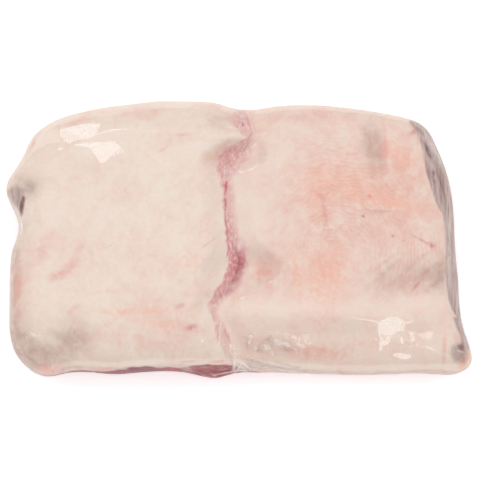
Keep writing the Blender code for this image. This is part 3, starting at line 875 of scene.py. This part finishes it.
def pork(name, fat, warm_fat):
    """Raw pork: mottled fat under its stains and its painted shade and highlights, and fibrous lean with
    seams of fat where the lean shows.
    """
    material = bpy.data.materials.new(name)
    material.use_nodes = True
    tree = material.node_tree
    shader = tree.nodes["Principled BSDF"]
    place = node(tree, "ShaderNodeTexCoord").outputs["Object"]
    grain = noise(tree, place, 95.0, detail=4.0, roughness=0.65, distortion=0.5)
    fine = noise(tree, place, 300.0, detail=1.5, roughness=0.6)

    def painted(family):
        """A stain as painted."""
        return node(tree, "ShaderNodeAttribute", attribute_name=family).outputs["Fac"]

    def stain(family, texture, raggedness):
        """A painted stain, made uneven."""
        inputs = {"Stain": painted(family), "Grain": texture, "Raggedness": raggedness}
        return node(tree, "ShaderNodeGroup", inputs, node_tree=uneven_stain).outputs[0]

    # Fat: warm clouds, and fine flecks both ways
    clouds = noise(tree, place, 24.0, detail=4.0, roughness=0.6)
    colour = mixed(tree, stretched(tree, clouds, 0.38, 0.62, 0.8), fat, warm_fat)
    colour = mixed(tree, stretched(tree, grain, 0.48, 0.72, 0.35), colour, WARM_CLOUD)
    colour = mixed(tree, stretched(tree, fine, 0.50, 0.20, 0.30), colour, PALE_FLECK)
    colour = mixed(tree, stretched(tree, fine, 0.52, 0.80, 0.25), colour, ROSY_FLECK)
    # Pale: partly painted highlights on crests and painted light in the groove's shade, partly the fat's
    # own pale tone
    colour = mixed(tree, stain("pale_and_highlight", grain, 0.3), colour, PALE_FAT_AND_HIGHLIGHT)
    # Grey: mostly painted shade in corners, hollows, dents and wrinkles, partly the fat's own grey
    colour = mixed(tree, stain("grey_and_shade", grain, 0.45), colour, GREY_FAT_AND_SHADE)
    colour = mixed(tree, stain("blush", grain, 0.8), colour, PINK_FAT)
    colour = mixed(tree, stain("peach", fine, 0.6), colour, PEACH_FAT)

    # The fat side's ridges lie in rings round a whorl, bent like a fingerprint
    warp = node(tree, "ShaderNodeTexNoise", {"Vector": place, "Scale": 38.0, "Detail": 2.0})
    warp = vector_math(tree, "MULTIPLY", warp.outputs["Color"], RIDGE_BEND)
    bent = vector_math(tree, "ADD", place, warp)
    whorl = vector_math(tree, "SUBTRACT", bent, WHORL)
    wave = {"Vector": whorl, "Scale": 88.0, "Distortion": 2.0, "Detail": 2.0, "Detail Scale": 1.5}
    rings = node(tree, "ShaderNodeTexWave", wave, wave_type="RINGS", rings_direction="Z").outputs["Fac"]
    ridge = math(tree, "MULTIPLY", rings, stain("striae", grain, 0.8))
    colour = mixed(tree, math(tree, "MULTIPLY", ridge, 0.42), colour, RIDGE_PINK)

    # Fine veins: the borders of distorted cells, only here and there
    cells = node(tree, "ShaderNodeTexVoronoi", {"Vector": bent, "Scale": 75.0}, feature="DISTANCE_TO_EDGE")
    vein = stretched(tree, cells.outputs["Distance"], 0.06, 0.0)
    vein = math(tree, "MULTIPLY", vein, stretched(tree, clouds, 0.50, 0.64, 0.20))
    colour = mixed(tree, vein, colour, VEIN_PINK)

    # The groove: a pink band with red grains and pale flecks
    crumbs = noise(tree, scaled(tree, place, 1.0, 0.40, 1.0), 560.0, detail=3.0, roughness=0.6)
    colour = mixed(tree, stain("seam", grain, 0.35), colour, GROOVE_PINK)
    flecks = math(tree, "MULTIPLY", painted("seam"), stretched(tree, crumbs, 0.5, 0.35, 0.50))
    colour = mixed(tree, flecks, colour, GROOVE_FLECK)
    colour = mixed(tree, stain("seam_red", crumbs, 0.90), colour, GROOVE_RED)
    colour = mixed(tree, stain("blood", crumbs, 0.6), colour, BLOOD_RED)

    # Beyond the right fat edge: thin streaked fat over the lean
    streaks = noise(tree, scaled(tree, place, 520.0, 45.0, 260.0), 1.0, detail=4.0, roughness=0.65)
    thin_fat = mixed(tree, stretched(tree, streaks, 0.35, 0.65), THIN_FAT_DARK, THIN_FAT_PALE)
    colour = mixed(tree, math(tree, "MULTIPLY", painted("strip"), 0.9), colour, thin_fat)

    # Lean: fibres along the pack, with thin seams of fat
    fibre = noise(tree, scaled(tree, place, 130.0, 380.0, 380.0), 1.0, detail=4.0, roughness=0.7)
    lean = mixed(tree, stretched(tree, fibre, 0.38, 0.62), LEAN_DARK, LEAN_RED)
    seams = stretched(tree, noise(tree, bent, 80.0, detail=6.0, roughness=0.7), 0.57, 0.66, 0.75)
    lean = mixed(tree, seams, lean, LEAN_SEAM)
    colour = mixed(tree, stain("lean", grain, 0.15), colour, lean)
    colour = mixed(tree, stain("dark", crumbs, 0.10), colour, DEEP_MAROON)

    relief = math(tree, "ADD", math(tree, "MULTIPLY", ridge, 0.5), math(tree, "MULTIPLY", fine, 0.35))
    relief = math(tree, "MULTIPLY_ADD", math(tree, "MULTIPLY", painted("seam"), crumbs), 0.4, relief)
    bump = node(tree, "ShaderNodeBump", {"Height": relief, "Strength": 0.5, "Distance": 0.0006})
    tree.links.new(colour, shader.inputs["Base Color"])
    tree.links.new(bump.outputs["Normal"], shader.inputs["Normal"])
    shader.inputs["Roughness"].default_value = 0.5
    shader.inputs["Specular IOR Level"].default_value = 0.25
    shader.inputs["Subsurface Weight"].default_value = 0.12
    shader.inputs["Subsurface Radius"].default_value = (0.004, 0.0025, 0.002)
    shader.inputs["Subsurface Scale"].default_value = 1.0
    return material


# The columns lie closest at the seam, at the nick in the left end and at the right fat edge
seam_crowd = Reach(0.0, 0.12, 2.0)
nick_crowd = Reach(-0.96, 0.06, 2.0)
edge_crowd = Reach(0.95, 0.06, 1.0)
left_butt = butt("left_butt", steps(-1, 0, BUTT_COLUMNS, [seam_crowd, nick_crowd]))
right_butt = butt("right_butt", steps(0, 1, BUTT_COLUMNS, [seam_crowd, edge_crowd]))
left_butt.data.materials.append(pork("left pork", LEFT_FAT, LEFT_FAT_WARM))
right_butt.data.materials.append(pork("right pork", RIGHT_FAT, RIGHT_FAT_WARM))
for piece in (left_butt, right_butt):
    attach(piece, "root")


# The juice
# A little red juice that has run out of the meat and stands under the film in the groove's deep
# pocket. It is a thin lens along the seam, which fades at its rim, where it is thinnest.

POOL_FRONT = -0.052
POOL_BACK = -0.014
POOL_HALF_WIDTH = 0.0055
POOL_UNDER_FILM = 0.0004
POOL_THICKNESS = 0.0022
POOL_RINGS = 41
POOL_SIDES = 32
JUICE_DEEP = tone(184, 100, 112)
JUICE_CLOUDY = tone(214, 160, 158)


def pool():
    """A lens that follows the seam, and each point's share of its depth.

    It is a tube whose section is an ellipse, flat and wide. The section grows with the square root
    of a half sine from the front to the back, so the lens is round at both ends.
    """
    turns = np.linspace(0, 2 * np.pi, POOL_SIDES + 1)[:-1]
    along, around = np.meshgrid(np.linspace(0, 1, POOL_RINGS), turns, indexing="ij")
    b = (POOL_FRONT + along * (POOL_BACK - POOL_FRONT)) / FRONT
    cube = np.stack([np.zeros_like(b), b, np.ones_like(b)], axis=-1).reshape(-1, 3)
    points = pack_surface(cube) - pack_middle
    fullness = np.sqrt(np.clip(np.sin(np.pi * along), 0.0004, 1)).ravel()
    across, rise = np.cos(around).ravel(), np.sin(around).ravel()
    points[:, 0] += POOL_HALF_WIDTH * fullness * across
    points[:, 2] += POOL_THICKNESS / 2 * fullness * (rise - 1) - POOL_UNDER_FILM
    index = np.arange(along.size).reshape(along.shape)
    turned = np.roll(index, -1, axis=1)
    faces = np.stack([index[:-1], turned[:-1], turned[1:], index[1:]], axis=-1).reshape(-1, 4).tolist()
    return points, faces + [index[0].tolist()[::-1], index[-1].tolist()], fullness * rise**2


def juice():
    """Thin red juice: clear at its rim and cloudy where it is deep."""
    material = bpy.data.materials.new("juice")
    material.use_nodes = True
    tree = material.node_tree
    shader = tree.nodes["Principled BSDF"]
    place = node(tree, "ShaderNodeTexCoord").outputs["Object"]
    cloud = stretched(tree, noise(tree, place, 300.0, detail=4.0, roughness=0.65), 0.35, 0.65)
    tree.links.new(mixed(tree, cloud, JUICE_DEEP, JUICE_CLOUDY), shader.inputs["Base Color"])
    shader.inputs["Roughness"].default_value = 0.15
    depth = node(tree, "ShaderNodeAttribute", attribute_name="depth").outputs["Fac"]
    clear = node(tree, "ShaderNodeBsdfTransparent", {"Color": (1, 1, 1, 1)})
    share = math(tree, "MULTIPLY", depth, math(tree, "MULTIPLY_ADD", cloud, -0.4, 0.60))
    layer = node(tree, "ShaderNodeMixShader", {0: share, 1: clear.outputs[0], 2: shader.outputs[0]})
    tree.links.new(layer.outputs[0], tree.nodes["Material Output"].inputs["Surface"])
    return material


juice_points, juice_faces, juice_depths = pool()
pools = skin("juice", juice_points, juice_faces)
paint(pools, "depth", juice_depths)
pools.data.materials.append(juice())
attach(pools, "root")


# The bag
# One clear shrink bag of thin film, drawn onto the meat by heat. It bridges the groove, gathers in
# folds at the nick, the front of the groove and the heel, and runs in streaks over the right end.

FILM_COLUMNS = 264
FILM_ROWS = 166
FILM_RINGS = 50
FILM_UNDER_RINGS = 10
# The film's slack: how far apart its waves are and how high
SLACK = ((0.040, 0.0004), (0.013, 0.00012))
SLACK_SEED = 20

# Fans of folds: the place they run out from, how far they run, how many there are and how high
Fan = namedtuple("Fan", "x y reach count height")
FANS = {
    "nick in the left end": Fan(-0.186, 0.026, 0.013, 12, 0.0003),
    "front of the groove": Fan(0.003, -0.112, 0.009, 18, 0.0006),
    "heel": Fan(0.186, -0.104, 0.011, 15, 0.0008),
}
# Places where the film is crumpled: the place, the size of one crumple, its height, domed or creased
Crumple = namedtuple("Crumple", "mark cell height domed")
CRUMPLE_SEED = 40
CRUMPLES = {
    "bubbles in front of the groove": Crumple(
        Mark(0.026, -0.0975, 0.026, 0.0095, -8, 1.0), 0.0068, 0.0011, True
    ),
    "broken film on the front roll": Crumple(
        Mark(0.134, -0.0985, 0.020, 0.0080, 0, 1.0), 0.0060, 0.0002, False
    ),
    "fold on the left butt": Crumple(Mark(-0.107, -0.013, 0.006, 0.0020, 25, 1.0), 0.0040, 0.0006, False),
    "star on the left roll": Crumple(Mark(-0.171, -0.091, 0.006, 0.0040, 0, 1.0), 0.0040, 0.0008, False),
    "chevron": Crumple(Mark(0.073, 0.008, 0.018, 0.0040, -84, 1.0), 0.0036, 0.0003, True),
    "corner nub": Crumple(Mark(-0.158, -0.120, 0.012, 0.0070, 10, 1.0), 0.0030, 0.0006, True),
    "top of the groove": Crumple(Mark(0.004, 0.094, 0.011, 0.0120, 0, 1.0), 0.0034, 0.0005, True),
    "groove": Crumple(Mark(-0.006, 0.015, 0.080, 0.0070, 90, 1.0), 0.0030, 0.0003, False),
    "deep pocket": Crumple(Mark(0.001, -0.032, 0.018, 0.0080, 75, 1.0), 0.0040, 0.0005, False),
    "seam near the front": Crumple(Mark(-0.012, -0.092, 0.018, 0.0050, 80, 1.0), 0.0030, 0.0004, False),
    "trough": Crumple(Mark(0.118, 0.060, 0.022, 0.0060, -85, 1.0), 0.0040, 0.0003, False),
}
# Over the right end the film is drawn into fine streaks along the edge
END_STREAKS = Swell(0.190, 0.010, 0.016, 0.075, 0, 0.0010)
STREAK_WIDTH = 0.0020
STREAK_LENGTH = 0.045
STREAK_SEED = 60
# Where the film is gathered or lies double it is milky, and in a few places the milk is a painted
# reflection or highlight
HAZE_AND_SHEEN = {
    "gather, left line": Mark(-0.0028, -0.1137, 0.0094, 0.0009, 87, 1.0),
    "gather, right line": Mark(0.0064, -0.1163, 0.0087, 0.0008, -43, 1.0),
    "gather, middle line": Mark(0.0010, -0.1190, 0.0060, 0.0007, 62, 0.8),
    "gather, cross": Mark(0.0031, -0.1193, 0.0044, 0.0007, -29, 0.9),
    "gather, base": Mark(0.0052, -0.1227, 0.0067, 0.0008, -4, 0.9),
    "gather, inside": Mark(0.0025, -0.1195, 0.0060, 0.0045, -20, 0.35),
    "strip right of the gather": Mark(0.0330, -0.1158, 0.0199, 0.0014, -14, 0.7),
    "strip below it": Mark(0.0363, -0.1206, 0.0162, 0.0009, -9, 0.5),
    "rim of the lean": Mark(-0.0070, -0.1240, 0.0141, 0.0008, 10, 0.6),
    "lean's left end": Mark(-0.0440, -0.1200, 0.0055, 0.0030, -30, 0.40),
    # Painted reflection: milky streaks standing for the film's reflection on the ridge
    "ridge right of the groove": Mark(0.0250, 0.0600, 0.0280, 0.0090, -65, 0.25),
    "pocket": Mark(-0.0090, -0.0510, 0.0085, 0.0035, 30, 0.30),
    "pocket's head": Mark(0.0010, -0.0150, 0.0050, 0.0030, 60, 0.35),
    "below the nick": Mark(-0.1834, 0.0026, 0.0086, 0.0013, -84, 1.0),
    "right end": Mark(0.1786, -0.0244, 0.0363, 0.0022, -89, 0.4),
    "right end, outer": Mark(0.1850, 0.0300, 0.0500, 0.0020, -80, 0.3),
    "back right corner": Mark(0.1670, 0.0700, 0.0200, 0.0030, -65, 0.4),
    "heel": Mark(0.1925, -0.0851, 0.0144, 0.0025, -78, 0.6),
    "heel's spot": Mark(0.1872, -0.1045, 0.0040, 0.0006, -20, 0.7),
    "streak by the groove": Mark(-0.0150, -0.0920, 0.0140, 0.0013, 86, 0.45),
    "second streak by the groove": Mark(-0.0066, -0.0995, 0.0070, 0.0009, -80, 0.45),
}


# Places that the bag has drawn flat, each group at a slope of its own (its normal, which is halfway
# between the camera and a soft box). Over a flat a little milk is painted as a highlight. Its attribute is
# a half at its outline, and one and nothing at the reach inside and outside it.
FLAT_REACH = 0.004
FLAT_SHEEN = 0.35
BACK_FLATS = (
    (
        (-0.1540, 0.0872), (-0.1523, 0.0795), (-0.1456, 0.0735), (-0.1211, 0.0812), (-0.1169, 0.0923),
        (-0.1329, 0.0923),
    ),
    (
        (-0.1422, 0.0727), (-0.1262, 0.0701), (-0.1211, 0.0633), (-0.1169, 0.0564), (-0.1136, 0.0564),
        (-0.1077, 0.0624), (-0.0984, 0.0701), (-0.1051, 0.0761), (-0.1262, 0.0752),
    ),
)
BACK_FLAT_NORMAL = (-0.104, 0.287, 0.952)
FRONT_FLATS = (
    (
        (0.1172, -0.0812), (0.1180, -0.0906), (0.1289, -0.0906), (0.1332, -0.0872), (0.1399, -0.0863),
        (0.1407, -0.0795), (0.1374, -0.0761), (0.1315, -0.0744), (0.1247, -0.0752), (0.1197, -0.0778),
    ),
    (
        (0.1188, -0.0923), (0.1188, -0.1052), (0.1214, -0.1043), (0.1222, -0.1000), (0.1273, -0.0983),
        (0.1289, -0.0915), (0.1247, -0.0915), (0.1230, -0.0958), (0.1214, -0.0923),
    ),
    ((0.1357, -0.0932), (0.1374, -0.0983), (0.1399, -0.0983), (0.1382, -0.0915)),
    ((0.1441, -0.0872), (0.1458, -0.0966), (0.1492, -0.0958), (0.1475, -0.0889)),
    (
        (0.1289, -0.1069), (0.1357, -0.1111), (0.1433, -0.1120), (0.1475, -0.1094), (0.1449, -0.1069),
        (0.1374, -0.1052),
    ),
)
FRONT_FLAT_NORMAL = (0.041, -0.358, 0.933)
# Painted glints: small facets of puckered film, given pale milk, by the gather, on the front roll, in the
# star and the streak on the left butt, in the chevron and on the corner nub
GLINT_FACETS = (
    (
        (0.0296, -0.0923), (0.0304, -0.0983), (0.0388, -0.0992), (0.0447, -0.1017), (0.0439, -0.0975),
        (0.0355, -0.0940),
    ),
    ((0.0212, -0.0975), (0.0228, -0.1035), (0.0287, -0.1026), (0.0279, -0.0992)),
    ((0.0136, -0.0992), (0.0119, -0.1035), (0.0161, -0.1043), (0.0170, -0.0983)),
    ((0.0052, -0.0915), (0.0102, -0.0932), (0.0136, -0.0932), (0.0119, -0.0889)),
    ((0.0102, -0.0923), (0.0077, -0.0983), (0.0094, -0.0992), (0.0119, -0.0940)),
    ((0.0279, -0.1035), (0.0279, -0.1069), (0.0313, -0.1086), (0.0304, -0.1043)),
    ((0.0473, -0.1000), (0.0481, -0.1060), (0.0498, -0.1077), (0.0498, -0.1017)),
    ((0.0506, -0.0898), (0.0498, -0.0949), (0.0515, -0.0958), (0.0532, -0.0906)),
    ((0.0532, -0.0898), (0.0540, -0.0940), (0.0599, -0.0932), (0.0624, -0.0898), (0.0574, -0.0881)),
    ((-0.1733, -0.0881), (-0.1725, -0.0915), (-0.1683, -0.0923), (-0.1674, -0.0898), (-0.1708, -0.0872)),
    ((-0.1683, -0.0915), (-0.1658, -0.0923), (-0.1615, -0.0889), (-0.1658, -0.0889)),
    ((-0.1775, -0.0908), (-0.1725, -0.0923), (-0.1725, -0.0906)),
    ((-0.1691, -0.0923), (-0.1674, -0.0958), (-0.1666, -0.0923)),
    ((-0.1127, -0.0145), (-0.1110, -0.0162), (-0.1018, -0.0115), (-0.1043, -0.0103)),
    ((0.0696, 0.0068), (0.0721, 0.0034), (0.0729, 0.0043), (0.0704, 0.0077)),
    ((0.0725, 0.0026), (0.0729, -0.0004), (0.0759, -0.0009), (0.0759, 0.0026)),
    ((-0.1573, -0.1214), (-0.1573, -0.1231), (-0.1557, -0.1231), (-0.1557, -0.1214)),
    ((-0.1485, -0.1180), (-0.1481, -0.1214), (-0.1468, -0.1214), (-0.1472, -0.1180)),
    ((-0.1510, -0.1218), (-0.1510, -0.1235), (-0.1493, -0.1235), (-0.1493, -0.1218)),
    ((-0.0049, -0.1052), (-0.0049, -0.1231), (-0.0024, -0.1240), (0.0001, -0.1120), (-0.0007, -0.1043)),
    ((-0.0016, -0.1206), (-0.0016, -0.1231), (0.0043, -0.1214), (0.0035, -0.1197)),
    ((0.0014, -0.1111), (0.0094, -0.1193), (0.0102, -0.1184), (0.0026, -0.1103)),
)


def domes(x, y, cell, seed):
    """Low domes with sharp valleys: one minus the squared distance to the nearest jittered centre."""
    jitter = np.random.default_rng(seed).random((64, 64, 2))
    u, v = x / cell + 640, y / cell + 640
    i, j = np.floor(u).astype(int), np.floor(v).astype(int)
    nearest = np.full_like(u, np.inf)
    for step_i in (-1, 0, 1):
        for step_j in (-1, 0, 1):
            offset = jitter[(i + step_i) % 64, (j + step_j) % 64]
            away = (i + step_i + offset[..., 0] - u) ** 2 + (j + step_j + offset[..., 1] - v) ** 2
            nearest = np.minimum(nearest, away)
    return 1 - np.clip(nearest, 0, 1)


def wrinkles(x, y, z):
    """How far the film stands off its smooth form, and how crinkled it is, at each point.

    A crease is the square of one minus twice a noise's distance from its middle, and a fan is a
    cosine of the turn round its foot, twisted as it runs out, that fades as a bell curve.
    """
    stand_off = np.zeros_like(x)
    for seed, (cell, height) in enumerate(SLACK, SLACK_SEED):
        stand_off += height * lattice_noise(x + z, y - z, cell, seed)
    crinkled = np.zeros_like(x)
    for seed, crumple in enumerate(CRUMPLES.values(), CRUMPLE_SEED):
        mask = covered(crumple.mark, x, y)
        creases = (1 - np.abs(2 * lattice_noise(x + z, y - z, crumple.cell, seed) - 1)) ** 2
        shape = domes(x, y, crumple.cell, seed) if crumple.domed else creases
        stand_off += mask * crumple.height * shape
        crinkled = np.maximum(crinkled, mask)
    for fan in FANS.values():
        away = np.hypot(x - fan.x, y - fan.y)
        folds = np.cos(fan.count * np.arctan2(y - fan.y, x - fan.x) + 3 * away / fan.reach)
        fading = np.exp(-((away / fan.reach) ** 2))
        stand_off += fan.height * (0.5 + 0.5 * folds) * smooth(away, 0, fan.reach / 2) * fading
        crinkled = np.maximum(crinkled, 0.7 * fading)
    streaks = lattice_noise((x - z) / STREAK_WIDTH, y / STREAK_LENGTH, 1.0, STREAK_SEED)
    share = swelling(END_STREAKS, x, y)
    stand_off += share * streaks
    return stand_off, np.maximum(crinkled, 0.4 * share / END_STREAKS.rise)


FILM_INDEX = 1.5
# Seen edge on, the film would mirror the white tent and hide the meat, so it mirrors no more than this
MOST_MIRRORED = 0.055
FILM_CLEAR = (0.99, 0.985, 0.98, 1.0)
FILM_MILK_AND_SHEEN = tone(240, 230, 224)
FILM_SHADE = (0.95, 0.945, 0.94, 1.0)


def shrink_film():
    """Clear film: it lets the meat through, mirrors by its angle, and is milky where it gathers, with milk
    painted as highlights on the flats and as glints on the small facets.
    """
    material = bpy.data.materials.new("shrink film")
    material.use_nodes = True
    tree = material.node_tree
    tree.nodes.remove(tree.nodes["Principled BSDF"])
    place = node(tree, "ShaderNodeTexCoord").outputs["Object"]
    crinkle = node(tree, "ShaderNodeAttribute", attribute_name="crinkle").outputs["Fac"]
    haze_and_sheen = node(tree, "ShaderNodeAttribute", attribute_name="haze_and_sheen").outputs["Fac"]

    creases = node(tree, "ShaderNodeTexVoronoi", {"Vector": place, "Scale": 330.0}).outputs["Distance"]
    ripple = math(tree, "ADD", noise(tree, place, 120.0, detail=2.0), creases)
    height = math(tree, "MULTIPLY", ripple, math(tree, "MULTIPLY_ADD", crinkle, 0.97, 0.03))
    bump = node(tree, "ShaderNodeBump", {"Height": height, "Strength": 0.6, "Distance": 0.0010})
    slope = bump.outputs["Normal"]

    # Within a flat the film lies at the flat's own slope
    wobble = math(tree, "MULTIPLY_ADD", noise(tree, place, 260.0), 0.16, -0.08)
    for name, lie in (("flat_back", BACK_FLAT_NORMAL), ("flat_front", FRONT_FLAT_NORMAL)):
        painted = node(tree, "ShaderNodeAttribute", attribute_name=name).outputs["Fac"]
        share = stretched(tree, math(tree, "ADD", painted, wobble), 0.46, 0.54, 0.97)
        turned = node(tree, "ShaderNodeVectorTransform", {"Vector": lie}, vector_type="NORMAL")
        turned.convert_from = "OBJECT"
        turned.convert_to = "WORLD"
        blend = node(tree, "ShaderNodeMix", {0: share, 4: slope, 5: turned.outputs[0]}, data_type="VECTOR")
        slope = vector_math(tree, "NORMALIZE", blend.outputs[1])

    # The film is a sheet, so it mirrors from inside as it does from outside
    inside = node(tree, "ShaderNodeNewGeometry").outputs["Backfacing"]
    index = math(tree, "MULTIPLY_ADD", inside, 1 / FILM_INDEX - FILM_INDEX, FILM_INDEX)
    mirror = node(tree, "ShaderNodeFresnel", {"IOR": index, "Normal": slope}).outputs[0]
    mirror = math(tree, "MINIMUM", mirror, MOST_MIRRORED)
    clear = node(tree, "ShaderNodeBsdfTransparent", {"Color": FILM_CLEAR})
    milk_and_sheen = node(tree, "ShaderNodeBsdfDiffuse", {"Color": FILM_MILK_AND_SHEEN, "Normal": slope})
    gloss = {"Color": (1, 1, 1, 1), "Roughness": 0.05, "Normal": slope}
    gloss = node(tree, "ShaderNodeBsdfGlossy", gloss)

    # Milk: in patches where the film is hazy or a flat carries its painted highlight, and evenly on the
    # small facets as painted glints
    patchy = stretched(tree, noise(tree, place, 240.0, detail=3.0), -0.2, 0.5)
    share = math(tree, "MULTIPLY", haze_and_sheen, patchy, clamp=True)
    painted_glint = node(tree, "ShaderNodeAttribute", attribute_name="painted_glint").outputs["Fac"]
    painted_glint = stretched(tree, math(tree, "ADD", painted_glint, wobble), 0.44, 0.60, 0.50)
    share = math(tree, "MAXIMUM", share, painted_glint)
    body = node(tree, "ShaderNodeMixShader", {0: share, 1: clear.outputs[0], 2: milk_and_sheen.outputs[0]})
    seen = node(tree, "ShaderNodeMixShader", {0: mirror, 1: body.outputs[0], 2: gloss.outputs[0]})

    # Light on its way to a lamp goes through without more ado
    passing = node(tree, "ShaderNodeLightPath").outputs["Is Shadow Ray"]
    shade = node(tree, "ShaderNodeBsdfTransparent", {"Color": FILM_SHADE})
    film = node(tree, "ShaderNodeMixShader", {0: passing, 1: seen.outputs[0], 2: shade.outputs[0]})
    tree.links.new(film.outputs[0], tree.nodes["Material Output"].inputs["Surface"])
    return material


film_a = steps(-1, 1, FILM_COLUMNS, [Reach(0.06, 0.12, 1.8), Reach(0.72, 0.12, 1.2)])
film_b = steps(-1, 1, FILM_ROWS)
film_rings = steps(-1, 1, FILM_RINGS, RING_CROWDS)
film_cube, film_faces = block(film_a, film_b, film_rings, FILM_UNDER_RINGS)
film_points = pack_surface(film_cube) - pack_middle
film = skin("film", film_points, film_faces)
film_normals = normals_of(film)
film_x, film_y, film_z = film_points.T
film_seen_y = seen_y(film_y, film_z)
stand_off, crinkled = wrinkles(film_x, film_seen_y, film_z)
lifted = smooth(film_z, 0.002, 0.012)
set_points(film, film_points + film_normals * (stand_off * lifted)[:, None])
paint(film, "crinkle", crinkled)
haze_and_sheen = stained(HAZE_AND_SHEEN, film_x, film_seen_y)
for name, polygons in (("flat_back", BACK_FLATS), ("flat_front", FRONT_FLATS), ("painted_glint", GLINT_FACETS)):
    depth = depth_inside(polygons, film_x, film_seen_y)
    paint(film, name, np.where(film_normals[:, 2] > -0.1, 0.5 + 0.5 * depth / FLAT_REACH, 0))
    # Painted highlight: a little milk over each flat
    haze_and_sheen = np.maximum(haze_and_sheen, FLAT_SHEEN * smooth(depth, -0.0005, 0.0015))
paint(film, "haze_and_sheen", haze_and_sheen * smooth(film_normals[:, 2], -0.4, 0.1))
film.data.materials.append(shrink_film())
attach(film, "root")
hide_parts("vacuum_pack")


# The floor
# A light table under the pack: white, lit from below, so that hardly any shadow falls on it. It isn't
# part of the object.

FLOOR_HALF = 4.0
FLOOR_GLOW = 0.40
# It lies a hair below the pack, so that the two surfaces don't meet
FLOOR_DROP = 0.0012
corners = [(-1, -1, 0), (1, -1, 0), (1, 1, 0), (-1, 1, 0)]
floor_points = np.array(corners) * FLOOR_HALF - (0, 0, FLOOR_DROP)
floor = skin("floor", floor_points, [(0, 1, 2, 3)])
table_white = bpy.data.materials.new("white table")
table_white.use_nodes = True
table_shader = table_white.node_tree.nodes["Principled BSDF"]
table_shader.inputs["Base Color"].default_value = (0.94, 0.94, 0.94, 1)
table_shader.inputs["Roughness"].default_value = 0.8
table_shader.inputs["Emission Color"].default_value = (1, 1, 1, 1)
table_shader.inputs["Emission Strength"].default_value = FLOOR_GLOW
floor.data.materials.append(table_white)


# The light and the camera
# A white tent, brighter overhead than at its foot, and two soft boxes whose mirror images are the
# highlights on the back of the left butt and on the front roll of the right butt.

# The tent's light: its foot's, and its crown's times a power of the nearness to the brightest place
TENT_FOOT = 0.41
TENT_CROWN = 1.05
TENT_TOWARDS = (0.0, 0.17, 0.985)
TENT_RISE = 1.5
BOX_DISTANCE = 1.2
PACK_TARGET = Vector((0.0018, -0.0028, 0.045))
CAMERA_ELEVATION = 80.0
CAMERA_DISTANCE = 1.6
FRAME_WIDTH = 0.4138
SENSOR_WIDTH = 36.0

world = bpy.data.worlds.new("white tent")
world.use_nodes = True
sky = world.node_tree
direction = node(sky, "ShaderNodeTexCoord").outputs["Generated"]
height = vector_math(sky, "DOT_PRODUCT", direction, TENT_TOWARDS, result="Value")
height = math(sky, "POWER", math(sky, "MAXIMUM", height, 0.0), TENT_RISE)
strength = math(sky, "MULTIPLY_ADD", height, TENT_CROWN, TENT_FOOT)
sky.nodes["Background"].inputs["Color"].default_value = (1, 1, 1, 1)
sky.links.new(strength, sky.nodes["Background"].inputs["Strength"])
bpy.context.scene.world = world
bpy.context.scene.view_settings.view_transform = "Standard"


def soft_box(name, towards, width, depth, radiance):
    """A rectangular lamp in a given direction from the pack, turned to face it."""
    lamp = bpy.data.lights.new(name, "AREA")
    lamp.shape = "RECTANGLE"
    lamp.size = width
    lamp.size_y = depth
    lamp.energy = radiance * width * depth * np.pi
    holder = bpy.data.objects.new(name, lamp)
    away = Vector(towards).normalized()
    holder.location = PACK_TARGET + away * BOX_DISTANCE
    holder.rotation_euler = away.to_track_quat("Z", "Y").to_euler()
    holder.visible_camera = False
    bpy.context.scene.collection.objects.link(holder)


soft_box("back left soft box", (-0.34, 0.72, 0.61), width=0.18, depth=0.14, radiance=3.2)
soft_box("front right soft box", (0.26, -0.60, 0.76), width=0.20, depth=0.16, radiance=3.4)

tilt = np.radians(CAMERA_ELEVATION)
lens = bpy.data.cameras.new("camera")
lens.sensor_width = SENSOR_WIDTH
lens.lens = SENSOR_WIDTH * CAMERA_DISTANCE / FRAME_WIDTH
camera = bpy.data.objects.new("camera", lens)
camera.location = PACK_TARGET + Vector((0, -np.cos(tilt), np.sin(tilt))) * CAMERA_DISTANCE
camera.rotation_euler = (np.pi / 2 - tilt, 0, 0)
bpy.context.scene.collection.objects.link(camera)
bpy.context.scene.camera = camera
